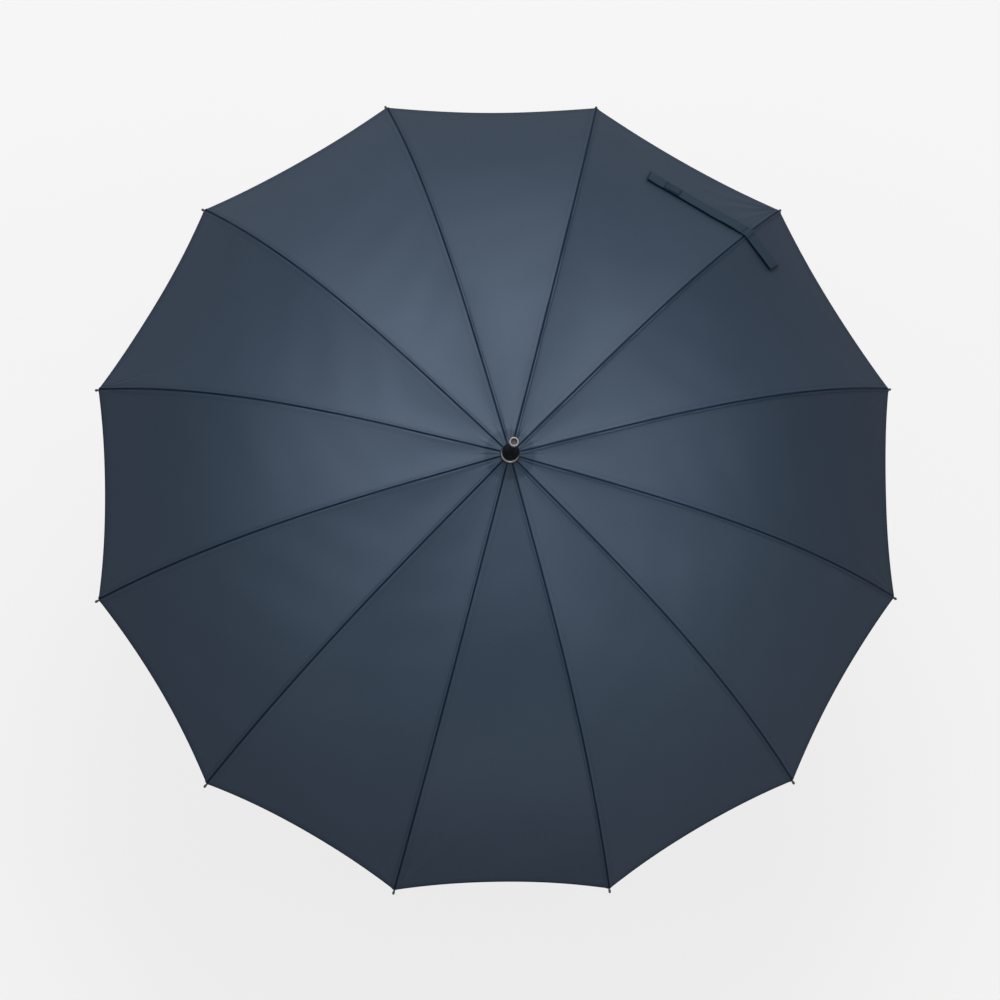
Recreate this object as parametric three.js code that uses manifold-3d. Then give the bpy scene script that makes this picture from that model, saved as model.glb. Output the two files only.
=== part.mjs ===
// Stick umbrella with a twelve-rib canopy, shown open. Millimetres, +Z up along the shaft.
// The origin is on the shaft's axis, where a hand holds the handle.

import * as THREE from 'three';
import { mergeVertices } from 'three/addons/utils/BufferGeometryUtils.js';
import Module from 'manifold-3d';

const wasm = await Module();
wasm.setup();

// ---- Driving dimensions -------------------------------------------------------------------

const RIB_COUNT = 12;
const RIB_STEP = 360 / RIB_COUNT;      // degrees between neighbouring ribs
const FIRST_RIB = 15;                  // degrees from +X to rib 01
const STRAP_RIB = 2;                   // the rib that the closing strap is sewn to

const CROWN_Z = 724;                   // the fabric's highest point, above the hand
const CANOPY_RADIUS = 511;             // shaft's axis to the fabric's corner on a rib tip
const CANOPY_HEIGHT = 260;             // crown to rim
const DOME = [0.2403, -0.3669, 1.1266];  // the dome's drop as a cubic in radius, each term a share
const FABRIC_HOLE = 7;                 // radius of the hole that the shaft passes through
const FABRIC = 0.5;                    // thickness of the canopy's solid
const SEAM_GAP = 0.4;                  // clearance between two gores along a rib
const HEM_RISE = 7;                    // how far the hem is cut back midway between two tips
const SAG = 5;                         // how far the fabric sinks midway between two ribs

const SHAFT_RADIUS = 5;
const SHAFT_BORE = 4.2;
const CLEARANCE = 0.35;                // between a sleeve and the shaft, and round a loose pin
const SLEEVE_RADIUS = 7.2;             // outside of the runner's and the notch's sleeves
const PIVOT_RADIUS = 9;                // shaft's axis to the pivots in the notch and in the runner
const FLANGE_RADIUS = 11.8;
const SLOT = 2.2;                      // width of the slots that the ribs and stretchers turn in

const RIB_WIDTH = 3.4;
const RIB_DEPTH = 3;
const RIB_WALL = 0.7;
const ROD_RADIUS = 1.5;
const RIB_BELOW = 2.8;                 // the fabric's outside down to a rib's centreline
const TIP_REACH = 7;                   // how far a rib's tip stands past the fabric's corner
const EYE = 1.4;                       // thickness of a flattened eye
const EYE_RADIUS = 1.5;
const PIN_RADIUS = 0.6;
const STRETCHER_WIDTH = 2.2;
const STRETCHER_DEPTH = 2.4;
const JOINT_RADIUS = 281;              // shaft's axis to the station where a stretcher meets its rib
const JOINT_DROP = 4.2;                // the rib's centreline down to the stretcher's pin
const FLEX_AFTER = 4;                  // the stretcher's pin out to the rod's hinge

const RUNNER_SKIRT = 38;               // the runner's pivots down to its lower end
const CATCH_REACH = 7.9;               // shaft's axis to a catch's nose
const CATCH_ARM = 32;                  // a catch's nose down to its bend
const CATCH_WIDTH = 1.6;
const BOTTOM_CATCH_Z = 144;            // flat face of the catch that holds the umbrella closed

const HANDLE_RADIUS = 11;
const HANDLE_TOP = 60;
const HANDLE_BEND_Z = -45;             // where the crook's half circle begins
const CROOK_RADIUS = 38;
const CROOK_END = 22;                  // straight length after the half circle
const SOCKET_DEPTH = 42;

const FERRULE_TOP = 77;                // the fabric up to the ferrule's end face
const FERRULE_FOOT = 12;               // radius of the flange that clamps the fabric
const FERRULE_WAIST = 8.6;             // the bright band is wrapped round this
const FERRULE_BAND = 9.5;
const FERRULE_NECK = 5.75;

const STRAP_WIDTH = 25;
const STRAP_LIFT = 1.6;                // the fabric up to the strap's underside
const STRAP_SLANT = 0.68;              // its width seen from above, as the canopy slopes there
const STRAP_THICKNESS = 1.2;

// ---- Materials ----------------------------------------------------------------------------

const navyFabric = () => new THREE.MeshStandardMaterial({
  color: 0x414c5c, roughness: 0.62, metalness: 0, side: THREE.DoubleSide,
});
const steel = () => new THREE.MeshStandardMaterial({ color: 0xb4b7ba, roughness: 0.34, metalness: 1 });
const chrome = () => new THREE.MeshStandardMaterial({ color: 0xdcdfe2, roughness: 0.14, metalness: 1 });
const rodBlack = () => new THREE.MeshStandardMaterial({ color: 0x1b1d20, roughness: 0.42, metalness: 0 });
const shaftPaint = () => new THREE.MeshStandardMaterial({ color: 0x2a2d31, roughness: 0.38, metalness: 0.6 });
const plastic = () => new THREE.MeshStandardMaterial({ color: 0x131416, roughness: 0.48, metalness: 0 });
const rubber = () => new THREE.MeshStandardMaterial({ color: 0x101113, roughness: 0.72, metalness: 0 });

// ---- Solids: booleans, plates, pins and turned pieces ---------------------------------------

function solidOf(geometry) {
  const bare = geometry.clone();
  bare.deleteAttribute('normal');
  bare.deleteAttribute('uv');
  const merged = mergeVertices(bare, 1e-4);
  return new wasm.Manifold(new wasm.Mesh({
    numProp: 3,
    vertProperties: new Float32Array(merged.attributes.position.array),
    triVerts: new Uint32Array(merged.index.array),
  }));
}

function geometryOf(solid) {
  const mesh = solid.getMesh();
  const geometry = new THREE.BufferGeometry();
  geometry.setAttribute('position', new THREE.BufferAttribute(mesh.vertProperties, 3));
  geometry.setIndex(new THREE.BufferAttribute(mesh.triVerts, 1));
  geometry.computeVertexNormals();
  return geometry;
}

const join = (first, ...rest) => geometryOf(rest.reduce((sum, g) => sum.add(solidOf(g)), solidOf(first)));
const cut = (first, ...rest) => geometryOf(rest.reduce((sum, g) => sum.subtract(solidOf(g)), solidOf(first)));

// A plate of the given thickness, centred on the XZ plane, with an outline of [x, z] points.
function plate(outline, thickness) {
  const shape = new THREE.Shape(outline.map(([x, z]) => new THREE.Vector2(x, z)));
  const geometry = new THREE.ExtrudeGeometry(shape, { depth: thickness, bevelEnabled: false });
  geometry.rotateX(Math.PI / 2);
  geometry.translate(0, thickness / 2, 0);
  return geometry;
}

// A round pin lying along Y through the point [x, z].
function pin([x, z], radius, length, sides = 6) {
  return new THREE.CylinderGeometry(radius, radius, length, sides).translate(x, 0, z);
}

function box(lowX, highX, width, lowZ, highZ) {
  const geometry = new THREE.BoxGeometry(highX - lowX, width, highZ - lowZ);
  return geometry.translate((lowX + highX) / 2, 0, (lowZ + highZ) / 2);
}

// A piece turned about +Z from a closed profile of [radius, z] points.
function turned(profile, sides = 20) {
  const points = [...profile, profile[0]].map(([r, z]) => new THREE.Vector2(r, z));
  return new THREE.LatheGeometry(points, sides).rotateX(Math.PI / 2);
}

const tubeProfile = (inner, outer, low, high) => [[inner, low], [outer, low], [outer, high], [inner, high]];

// ---- The dome and the ribs' line ------------------------------------------------------------

const radians = THREE.MathUtils.degToRad;

function domeDrop(radius) {
  const r = radius / CANOPY_RADIUS;
  return CANOPY_HEIGHT * (DOME[0] * r + DOME[1] * r ** 2 + DOME[2] * r ** 3);
}

// The dome's slope at a radius, as the angle below the horizontal.
function domeSlope(radius) {
  const r = radius / CANOPY_RADIUS;
  return Math.atan(CANOPY_HEIGHT / CANOPY_RADIUS * (DOME[0] + 2 * DOME[1] * r + 3 * DOME[2] * r ** 2));
}

// The line a given depth under the fabric, in the XZ plane of a rib, with the crown at the origin.
class RibLine extends THREE.Curve {
  constructor(from, to, depth = RIB_BELOW) {
    super();
    this.from = from;
    this.to = to;
    this.depth = depth;
  }

  getPoint(t, target = new THREE.Vector3()) {
    const radius = this.from + (this.to - this.from) * t;
    const slope = domeSlope(radius);
    const x = radius - this.depth * Math.sin(slope);
    return target.set(x, 0, -domeDrop(radius) - this.depth * Math.cos(slope));
  }

  // Points spaced evenly along the line, as [x, z] pairs.
  pairs(count) {
    return this.getSpacedPoints(count).map((p) => [p.x, p.z]);
  }
}

// The radii at which straight pieces meet, from the crown to the stretcher's joint and beyond it.
// Ribs and fabric bend at the same stations, so the gap between them stays even.
const INNER_STEPS = 5;
const OUTER_STEPS = 6;
const STATIONS = [
  ...new RibLine(FABRIC_HOLE, JOINT_RADIUS, 0).pairs(INNER_STEPS),
  ...new RibLine(JOINT_RADIUS, CANOPY_RADIUS, 0).pairs(OUTER_STEPS).slice(1),
].map(([x]) => x);

const onRibLine = (radius, depth) => new RibLine(radius, radius, depth).pairs(1)[0];

// The linkage in a rib's plane. The rib's and the stretcher's arms are equally long, so the
// runner's pivots stay on one radius while it slides.
const RIB_PIVOT = [PIVOT_RADIUS, onRibLine(PIVOT_RADIUS, RIB_BELOW)[1]];
const STRETCHER_PIVOT = onRibLine(JOINT_RADIUS, RIB_BELOW + JOINT_DROP);
const FLEX_PIVOT = onRibLine(JOINT_RADIUS + FLEX_AFTER, RIB_BELOW);
const RUNNER_PIVOT = [PIVOT_RADIUS, 2 * STRETCHER_PIVOT[1] - RIB_PIVOT[1]];

// ---- Ribs and stretchers, each made in the XZ plane -------------------------------------------

function ring([x, z], radius, sides = 8) {
  const turn = 2 * Math.PI / sides;
  return Array.from({ length: sides }, (_, i) => [x + radius * Math.cos(i * turn), z + radius * Math.sin(i * turn)]);
}

// A strip of even depth under the fabric, from one radius to another, bent at the stations.
function strip(from, to, top, bottom) {
  const radii = [from, ...STATIONS.filter((r) => r > from + 1 && r < to - 1), to];
  const upper = radii.map((r) => onRibLine(r, top));
  const lower = radii.map((r) => onRibLine(r, bottom));
  return [...lower, ...upper.reverse()];
}

// The steel half of a rib: a flat eye in the notch, a U-channel open below, and two cheeks
// that hold the stretcher's pin and the rod's pin.
function ribChannelGeometry() {
  const top = RIB_BELOW - RIB_DEPTH / 2;
  const bottom = RIB_BELOW + RIB_DEPTH / 2;
  const start = PIVOT_RADIUS + 4.5;
  const webEnd = JOINT_RADIUS - 2;
  const cheekEnd = JOINT_RADIUS + FLEX_AFTER;
  const channel = plate(strip(start, webEnd, top, bottom), RIB_WIDTH);
  const hollow = plate(strip(start + 6, webEnd + 1, top + RIB_WALL, bottom + 1), RIB_WIDTH - 2 * RIB_WALL);
  const neck = plate(strip(PIVOT_RADIUS, start + 1, RIB_BELOW - 0.9, RIB_BELOW + 0.9), EYE);
  const eye = plate(ring(RIB_PIVOT, EYE_RADIUS), EYE);
  const cheeks = plate([
    onRibLine(webEnd - 8, top + 1),
    onRibLine(webEnd - 8, bottom),
    [STRETCHER_PIVOT[0] - 1.5, STRETCHER_PIVOT[1] + 0.4],
    [STRETCHER_PIVOT[0] - 0.8, STRETCHER_PIVOT[1] - 1.3],
    [STRETCHER_PIVOT[0] + 0.8, STRETCHER_PIVOT[1] - 1.3],
    [STRETCHER_PIVOT[0] + 1.5, STRETCHER_PIVOT[1] + 0.4],
    onRibLine(cheekEnd + 1.5, bottom),
    onRibLine(cheekEnd + 1.5, top),
  ], RIB_WIDTH);
  const between = box(webEnd - 10, cheekEnd + 5, RIB_WIDTH - 2 * RIB_WALL, STRETCHER_PIVOT[1] - 4, -top);
  const arm = solidOf(channel).subtract(solidOf(hollow)).add(solidOf(neck)).add(solidOf(eye));
  const jaw = solidOf(cheeks).subtract(solidOf(between));
  return geometryOf(arm.add(jaw)
    .subtract(solidOf(pin(RIB_PIVOT, PIN_RADIUS + CLEARANCE, EYE + 1)))
    .add(solidOf(pin(STRETCHER_PIVOT, PIN_RADIUS, RIB_WIDTH - 0.1)))
    .add(solidOf(pin(FLEX_PIVOT, PIN_RADIUS, RIB_WIDTH - 0.1))));
}

// The springy half of a rib: a round rod with an eye at one end and its tip at the other.
function ribRodGeometry() {
  const start = JOINT_RADIUS + FLEX_AFTER + 3;
  const line = new RibLine(start, CANOPY_RADIUS + TIP_REACH);
  const section = new THREE.Shape(ring([0, 0], ROD_RADIUS, 6).map(([x, y]) => new THREE.Vector2(x, y)));
  const rod = new THREE.ExtrudeGeometry(section, { steps: OUTER_STEPS, bevelEnabled: false, extrudePath: line });
  const eye = plate(ring(FLEX_PIVOT, EYE_RADIUS), EYE);
  const neck = plate(strip(start - 3, start + 3, RIB_BELOW - 0.9, RIB_BELOW + 0.9), EYE);
  return cut(join(rod, neck, eye), pin(FLEX_PIVOT, PIN_RADIUS + CLEARANCE, EYE + 1));
}

// A straight steel bar with a flat eye at each end.
function stretcherGeometry() {
  const [jointX, jointZ] = STRETCHER_PIVOT;
  const [runnerX, runnerZ] = RUNNER_PIVOT;
  const length = Math.hypot(jointX - runnerX, jointZ - runnerZ);
  const along = (distance, height) => [
    runnerX + (distance * (jointX - runnerX) - height * (jointZ - runnerZ)) / length,
    runnerZ + (distance * (jointZ - runnerZ) + height * (jointX - runnerX)) / length,
  ];
  const bar = (from, to, depth, width) => plate(
    [along(from, -depth / 2), along(to, -depth / 2), along(to, depth / 2), along(from, depth / 2)], width,
  );
  const neckEnd = 7;
  return cut(
    join(
      bar(neckEnd, length - neckEnd, STRETCHER_DEPTH, STRETCHER_WIDTH),
      bar(0, length, 1.8, EYE),
      plate(ring(RUNNER_PIVOT, EYE_RADIUS), EYE),
      plate(ring(STRETCHER_PIVOT, EYE_RADIUS), EYE),
    ),
    pin(RUNNER_PIVOT, PIN_RADIUS + CLEARANCE, EYE + 1),
    pin(STRETCHER_PIVOT, PIN_RADIUS + CLEARANCE, EYE + 1),
  );
}

// ---- Notch and runner: slotted flanges with a wire ring through the slots ----------------------

function slottedFlange(sleeve, pivotZ, low, high) {
  const wire = new THREE.TorusGeometry(PIVOT_RADIUS, PIN_RADIUS - 0.1, 6, 24).translate(0, 0, pivotZ);
  const slots = Array.from({ length: RIB_COUNT }, (_, i) => {
    const slot = box(SLEEVE_RADIUS - 0.2, FLANGE_RADIUS + 2, SLOT, low - 1, high + 1);
    return slot.rotateZ(radians(FIRST_RIB + i * RIB_STEP));
  });
  const flange = cut(turned(tubeProfile(SLEEVE_RADIUS - 0.5, FLANGE_RADIUS, low, high)), ...slots);
  return solidOf(sleeve).add(solidOf(flange)).add(solidOf(wire));
}

function topNotchGeometry() {
  const z = RIB_PIVOT[1];
  const sleeve = turned(tubeProfile(SHAFT_RADIUS + CLEARANCE, SLEEVE_RADIUS, z - 14, z + 1.8));
  return geometryOf(slottedFlange(sleeve, z, z - 3, z + 1.2));
}

// The runner has a slot down its whole length, which the two catches pass through.
function runnerGeometry() {
  const z = RUNNER_PIVOT[1];
  const bore = SHAFT_RADIUS + CLEARANCE;
  const skirt = z - RUNNER_SKIRT;
  const sleeve = turned([
    [bore, skirt], [9.4, skirt], [9.4, skirt + 5], [SLEEVE_RADIUS, skirt + 8],
    [SLEEVE_RADIUS, z + 7], [bore, z + 7],
  ]);
  const slot = box(bore - 1, CATCH_REACH + 0.4, 2 * CATCH_WIDTH - 0.6, skirt - 1, z + 8);
  return geometryOf(slottedFlange(sleeve, z, z - 3, z + 2).subtract(solidOf(slot)));
}

// ---- Shaft, stop and catches ------------------------------------------------------------------

const CROWN_TO_HAND = -CROWN_Z;
const TOP_CATCH_Z = RUNNER_PIVOT[1] - RUNNER_SKIRT - 0.7;   // flat face just under the open runner
const STOP_Z = RUNNER_PIVOT[1] + 11;
const STOP_RADIUS = 1;

// The slot in the tube that a catch's nose comes out of. side is 1 when the nose points up.
function catchSlot(faceZ, side) {
  const ends = [faceZ + 1.5 * side, faceZ - 16 * side].sort((a, b) => a - b);
  return box(0, SHAFT_RADIUS + 2, CATCH_WIDTH + 0.6, ...ends);
}

function shaftTubeGeometry() {
  const low = CROWN_TO_HAND + HANDLE_TOP - SOCKET_DEPTH + 1;
  return cut(
    turned(tubeProfile(SHAFT_BORE, SHAFT_RADIUS, low, 14)),
    catchSlot(TOP_CATCH_Z, 1),
    catchSlot(CROWN_TO_HAND + BOTTOM_CATCH_Z, -1),
    pin([0, STOP_Z], STOP_RADIUS + CLEARANCE, 3 * SHAFT_RADIUS),
  );
}

// A sprung blade inside the tube, with a nose that is flat on one face and sloped on the other.
function catchGeometry(faceZ, side) {
  const z = (distance) => faceZ - distance * side;
  return plate([
    [-1, z(CATCH_ARM)], [1, z(CATCH_ARM)], [2, z(CATCH_ARM - 10)], [3.6, z(15)],
    [5.2, z(10)], [CATCH_REACH, z(1.2)], [CATCH_REACH, z(0)], [0, z(0)], [0, z(15)],
  ], CATCH_WIDTH);
}

// ---- Handle and ferrule -----------------------------------------------------------------------

class CrookLine extends THREE.Curve {
  getPoint(t, target = new THREE.Vector3()) {
    const straight = HANDLE_TOP - HANDLE_BEND_Z;
    const bend = Math.PI * CROOK_RADIUS;
    const distance = t * (straight + bend + CROOK_END);
    if (distance < straight) {
      return target.set(0, 0, HANDLE_TOP - distance);
    }
    if (distance < straight + bend) {
      const turn = (distance - straight) / CROOK_RADIUS;
      return target.set(CROOK_RADIUS * (1 - Math.cos(turn)), 0, HANDLE_BEND_Z - CROOK_RADIUS * Math.sin(turn));
    }
    return target.set(2 * CROOK_RADIUS, 0, HANDLE_BEND_Z + distance - straight - bend);
  }
}

function handleGeometry() {
  const section = new THREE.Shape(ring([0, 0], HANDLE_RADIUS, 12).map(([x, y]) => new THREE.Vector2(x, y)));
  const crook = new THREE.ExtrudeGeometry(section, { steps: 26, bevelEnabled: false, extrudePath: new CrookLine() });
  const socket = turned([[0, HANDLE_TOP - SOCKET_DEPTH], [SHAFT_RADIUS + CLEARANCE, HANDLE_TOP - SOCKET_DEPTH],
    [SHAFT_RADIUS + CLEARANCE, HANDLE_TOP + 1], [0, HANDLE_TOP + 1]]);
  return cut(crook, socket);
}

function handleCollarGeometry() {
  const bore = SHAFT_RADIUS + CLEARANCE;
  const low = HANDLE_TOP + 0.3;
  return turned([[bore, low], [10.4, low], [11.3, low + 0.8], [11.3, low + 7], [9.6, low + 9], [bore, low + 9]]);
}

const BAND_LOW = 2.3;
const BAND_HIGH = 13;

// The bright band round the cap's waist.
function ferruleRingGeometry() {
  return turned([[FERRULE_WAIST + 0.3, BAND_LOW], [FERRULE_BAND, BAND_LOW], [FERRULE_BAND, BAND_HIGH - 0.4],
    [FERRULE_BAND - 0.4, BAND_HIGH], [FERRULE_WAIST + 0.3, BAND_HIGH]]);
}

// The black cap: bored for the shaft, with a foot on the fabric, a domed shoulder and a long neck.
function ferruleCapGeometry() {
  const bore = SHAFT_RADIUS + CLEARANCE;
  return turned([
    [bore, 0.4], [FERRULE_FOOT, 0.4], [FERRULE_FOOT, 1.2], [FERRULE_FOOT - 0.9, 2], [FERRULE_WAIST, 2],
    [FERRULE_WAIST, BAND_HIGH + 0.3], [9.2, BAND_HIGH + 0.3], [9.1, 16], [8.3, 19], [7, 22.5], [6.1, 26],
    [FERRULE_NECK, 31], [FERRULE_NECK, FERRULE_TOP - 6.3], [0, FERRULE_TOP - 6.3], [0, 15], [bore, 15],
  ]);
}

function ferruleTipGeometry() {
  const low = FERRULE_TOP - 6;
  return turned([[0, low], [6, low], [6.2, low + 1], [6.2, FERRULE_TOP - 1], [5.6, FERRULE_TOP],
    [3.6, FERRULE_TOP], [3.6, FERRULE_TOP - 2.5], [0, FERRULE_TOP - 2.5]]);
}

// ---- Canopy -----------------------------------------------------------------------------------

const HALF_STEP = radians(RIB_STEP / 2);

// A point of the fabric between two ribs, seen with the gore's middle along +X. along is the
// radius at which the ribs carry it, and across runs from -1 on one rib to 1 on the other.
function fabricPoint(along, across, lift) {
  const slope = domeSlope(along);
  const share = (along - FABRIC_HOLE) / (CANOPY_RADIUS - FABRIC_HOLE);
  const sag = SAG * Math.sin(Math.PI * Math.min(share, 1) * 0.85) * (1 - across ** 2);
  const out = lift - sag;
  const halfWidth = along * Math.sin(HALF_STEP) - SEAM_GAP / 2;
  return [
    along * Math.cos(HALF_STEP) + out * Math.sin(slope),
    across * halfWidth,
    out * Math.cos(slope) - domeDrop(along),
  ];
}

// Closes a grid of outer points over a grid of inner points into one solid.
function sheetSolid(outer, inner) {
  const rows = outer.length;
  const columns = outer[0].length;
  const positions = [...outer.flat(), ...inner.flat()].flat();
  const top = (i, j) => i * columns + j;
  const under = (i, j) => rows * columns + i * columns + j;
  const triangles = [];
  const quad = (a, b, c, d) => triangles.push(a, b, c, a, c, d);
  for (let i = 0; i + 1 < rows; i += 1) {
    for (let j = 0; j + 1 < columns; j += 1) {
      quad(top(i, j), top(i + 1, j), top(i + 1, j + 1), top(i, j + 1));
      quad(under(i, j), under(i, j + 1), under(i + 1, j + 1), under(i + 1, j));
    }
    quad(top(i, 0), under(i, 0), under(i + 1, 0), top(i + 1, 0));
    quad(top(i + 1, columns - 1), under(i + 1, columns - 1), under(i, columns - 1), top(i, columns - 1));
  }
  for (let j = 0; j + 1 < columns; j += 1) {
    quad(top(0, j + 1), under(0, j + 1), under(0, j), top(0, j));
    quad(top(rows - 1, j), under(rows - 1, j), under(rows - 1, j + 1), top(rows - 1, j + 1));
  }
  const geometry = new THREE.BufferGeometry();
  geometry.setAttribute('position', new THREE.Float32BufferAttribute(positions, 3));
  geometry.setIndex(triangles);
  geometry.computeVertexNormals();
  return geometry;
}

// One panel, from the crown to a hem that is cut back in a shallow curve between two tips.
function goreGeometry() {
  const columns = [-1, -0.5, 0, 0.5, 1];
  const grid = (lift) => STATIONS.map((station) => columns.map((across) => {
    const share = (station - FABRIC_HOLE) / (CANOPY_RADIUS - FABRIC_HOLE);
    return fabricPoint(station - HEM_RISE * share ** 4 * (1 - across ** 2), across, lift);
  }));
  return sheetSolid(grid(0), grid(-FABRIC));
}

// The closing strap, sewn to the seam over one rib: a long end one way and a short end the other.
const STRAP_SEAM = 439;                // radius at which it is sewn
const STRAP_LONG = { turn: 18.9, drift: 9.5 };   // degrees round the canopy, and outwards
const STRAP_SHORT = { turn: -7, drift: 11.7 };

function strapPoint(share, edge, lift) {
  const leg = share < 0 ? STRAP_SHORT : STRAP_LONG;
  const turn = leg.turn * Math.abs(share);
  const along = STRAP_SEAM + leg.drift * Math.abs(share) + edge * STRAP_WIDTH / 2 * STRAP_SLANT;
  const goreMiddle = share < 0 ? -RIB_STEP / 2 : RIB_STEP / 2;
  const across = Math.tan(radians(turn - goreMiddle)) / Math.tan(HALF_STEP);
  const [x, y, z] = fabricPoint(along, across, STRAP_LIFT + lift);
  const middle = radians(goreMiddle);
  return [x * Math.cos(middle) - y * Math.sin(middle), x * Math.sin(middle) + y * Math.cos(middle), z];
}

function strapGeometry() {
  const shares = [-1, -0.5, 0, 0.2, 0.4, 0.6, 0.8, 1];
  const grid = (lift) => [1, 0, -1].map((edge) => shares.map((share) => strapPoint(share, edge, lift)));
  return sheetSolid(grid(STRAP_THICKNESS).reverse(), grid(0).reverse());
}

// ---- Assembly ---------------------------------------------------------------------------------

const group = new THREE.Group();

function add(parent, name, geometry, material) {
  const mesh = new THREE.Mesh(geometry, material);
  mesh.name = name;
  parent.add(mesh);
}

// Everything in canopy holds heights counted from the crown.
const canopy = new THREE.Group();
canopy.position.z = CROWN_Z;
group.add(canopy);

const number = (rib) => String(rib).padStart(2, '0');
const channel = ribChannelGeometry();
const rod = ribRodGeometry();
const stretcher = stretcherGeometry();
const gore = goreGeometry();

for (let rib = 1; rib <= RIB_COUNT; rib += 1) {
  const atRib = new THREE.Group();
  atRib.rotation.z = radians(FIRST_RIB + (rib - 1) * RIB_STEP);
  add(atRib, `rib_channel_${number(rib)}`, channel, steel());
  add(atRib, `rib_rod_${number(rib)}`, rod, rodBlack());
  add(atRib, `stretcher_${number(rib)}`, stretcher, steel());
  if (rib === STRAP_RIB) {
    add(atRib, 'closing_strap', strapGeometry(), navyFabric());
  }
  const afterRib = new THREE.Group();
  afterRib.rotation.z = radians(FIRST_RIB + (rib - 0.5) * RIB_STEP);
  add(afterRib, `gore_${number(rib)}`, gore, navyFabric());
  canopy.add(atRib, afterRib);
}

add(canopy, 'top_notch', topNotchGeometry(), plastic());
add(canopy, 'runner', runnerGeometry(), plastic());
add(canopy, 'shaft_tube', shaftTubeGeometry(), shaftPaint());
add(canopy, 'runner_stop', pin([0, STOP_Z], STOP_RADIUS, 13.6), steel());
add(canopy, 'top_catch', catchGeometry(TOP_CATCH_Z, 1), steel());
add(canopy, 'bottom_catch', catchGeometry(CROWN_TO_HAND + BOTTOM_CATCH_Z, -1), steel());
add(canopy, 'ferrule_ring', ferruleRingGeometry(), chrome());
add(canopy, 'ferrule_cap', ferruleCapGeometry(), plastic());
add(canopy, 'ferrule_tip', ferruleTipGeometry(), chrome());
add(group, 'handle_crook', handleGeometry(), rubber());
add(group, 'handle_collar', handleCollarGeometry(), chrome());

export default group;
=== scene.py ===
import bpy
import numpy as np
from mathutils import Matrix, Vector


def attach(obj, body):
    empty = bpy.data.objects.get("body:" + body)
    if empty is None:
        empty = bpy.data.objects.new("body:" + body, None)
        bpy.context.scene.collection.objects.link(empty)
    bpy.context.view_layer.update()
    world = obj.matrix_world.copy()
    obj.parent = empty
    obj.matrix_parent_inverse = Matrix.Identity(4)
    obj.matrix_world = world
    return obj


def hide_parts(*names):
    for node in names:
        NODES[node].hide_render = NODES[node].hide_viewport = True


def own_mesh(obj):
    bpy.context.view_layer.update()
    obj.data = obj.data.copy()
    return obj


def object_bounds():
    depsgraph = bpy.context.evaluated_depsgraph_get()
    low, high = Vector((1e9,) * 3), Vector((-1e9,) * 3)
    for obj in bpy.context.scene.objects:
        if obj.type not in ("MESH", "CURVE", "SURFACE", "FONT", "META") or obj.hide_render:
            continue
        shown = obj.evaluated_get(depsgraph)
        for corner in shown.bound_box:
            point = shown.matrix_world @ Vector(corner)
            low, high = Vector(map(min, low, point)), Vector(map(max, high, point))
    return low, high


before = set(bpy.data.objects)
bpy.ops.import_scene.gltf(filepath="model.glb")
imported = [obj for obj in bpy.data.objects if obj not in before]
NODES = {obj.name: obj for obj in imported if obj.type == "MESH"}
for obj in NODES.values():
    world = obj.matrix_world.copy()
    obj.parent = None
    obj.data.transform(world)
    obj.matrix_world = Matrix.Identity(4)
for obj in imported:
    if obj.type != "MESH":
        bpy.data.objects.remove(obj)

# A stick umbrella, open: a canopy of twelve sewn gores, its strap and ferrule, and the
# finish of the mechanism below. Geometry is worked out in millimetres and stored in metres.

CAD_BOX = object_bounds()
MM = 0.001

# ---- Dimensions, as in the CAD model (millimetres; heights count from the crown) ------------

RIBS = 12
RIB_STEP = 360 / RIBS
FIRST_RIB = 15
STRAP_RIB = 2
CROWN_Z = 724
CANOPY_RADIUS = 511
CANOPY_HEIGHT = 260
DOME = (0.2403, -0.3669, 1.1266)
FABRIC_HOLE = 7
HEM_RISE = 7
SAG = 5
JOINT_RADIUS = 281
ROD_START = 286
ROD_RADIUS = 1.5
RIB_BELOW = 2.8
TIP_REACH = 7
HANDLE_RADIUS = 11
HANDLE_TOP = 60
HANDLE_BEND_Z = -45
CROOK_RADIUS = 38
CROOK_END = 22

HALF_STEP = np.radians(RIB_STEP / 2)
SLANT = np.tan(HALF_STEP)                       # how fast a gore falls behind its rib's plane
QUARTER = np.sin(HALF_STEP) * np.cos(HALF_STEP)  # a gore's half width as a share of its radius


def smooth(x, low, high):
    t = np.clip((x - low) / (high - low), 0, 1)
    return t * t * (3 - 2 * t)


def dome_drop(radius):
    q = radius / CANOPY_RADIUS
    return CANOPY_HEIGHT * (DOME[0] * q + DOME[1] * q ** 2 + DOME[2] * q ** 3)


def dome_slope(radius):
    q = radius / CANOPY_RADIUS
    rise = DOME[0] + 2 * DOME[1] * q + 3 * DOME[2] * q ** 2
    return np.arctan(CANOPY_HEIGHT / CANOPY_RADIUS * rise)


RADII = np.linspace(0, 530, 2121)
ARC = np.concatenate([[0], np.cumsum(np.hypot(np.diff(RADII), np.diff(dome_drop(RADII))))])


def arc(radius):
    """Length along a rib from the crown to a radius."""
    return np.interp(radius, RADII, ARC)


def rib_azimuth(rib):
    return np.radians(FIRST_RIB + (rib - 1) * RIB_STEP)


def in_rib_plane(rib, x, y, z):
    """Points given radially, sideways and up from the crown, turned to a rib."""
    a = rib_azimuth(rib)
    x, y, z = np.broadcast_arrays(x, y, z)
    return np.stack([x * np.cos(a) - y * np.sin(a), x * np.sin(a) + y * np.cos(a), z + CROWN_Z], -1)


# ---- Mesh helpers ---------------------------------------------------------------------------

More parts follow.
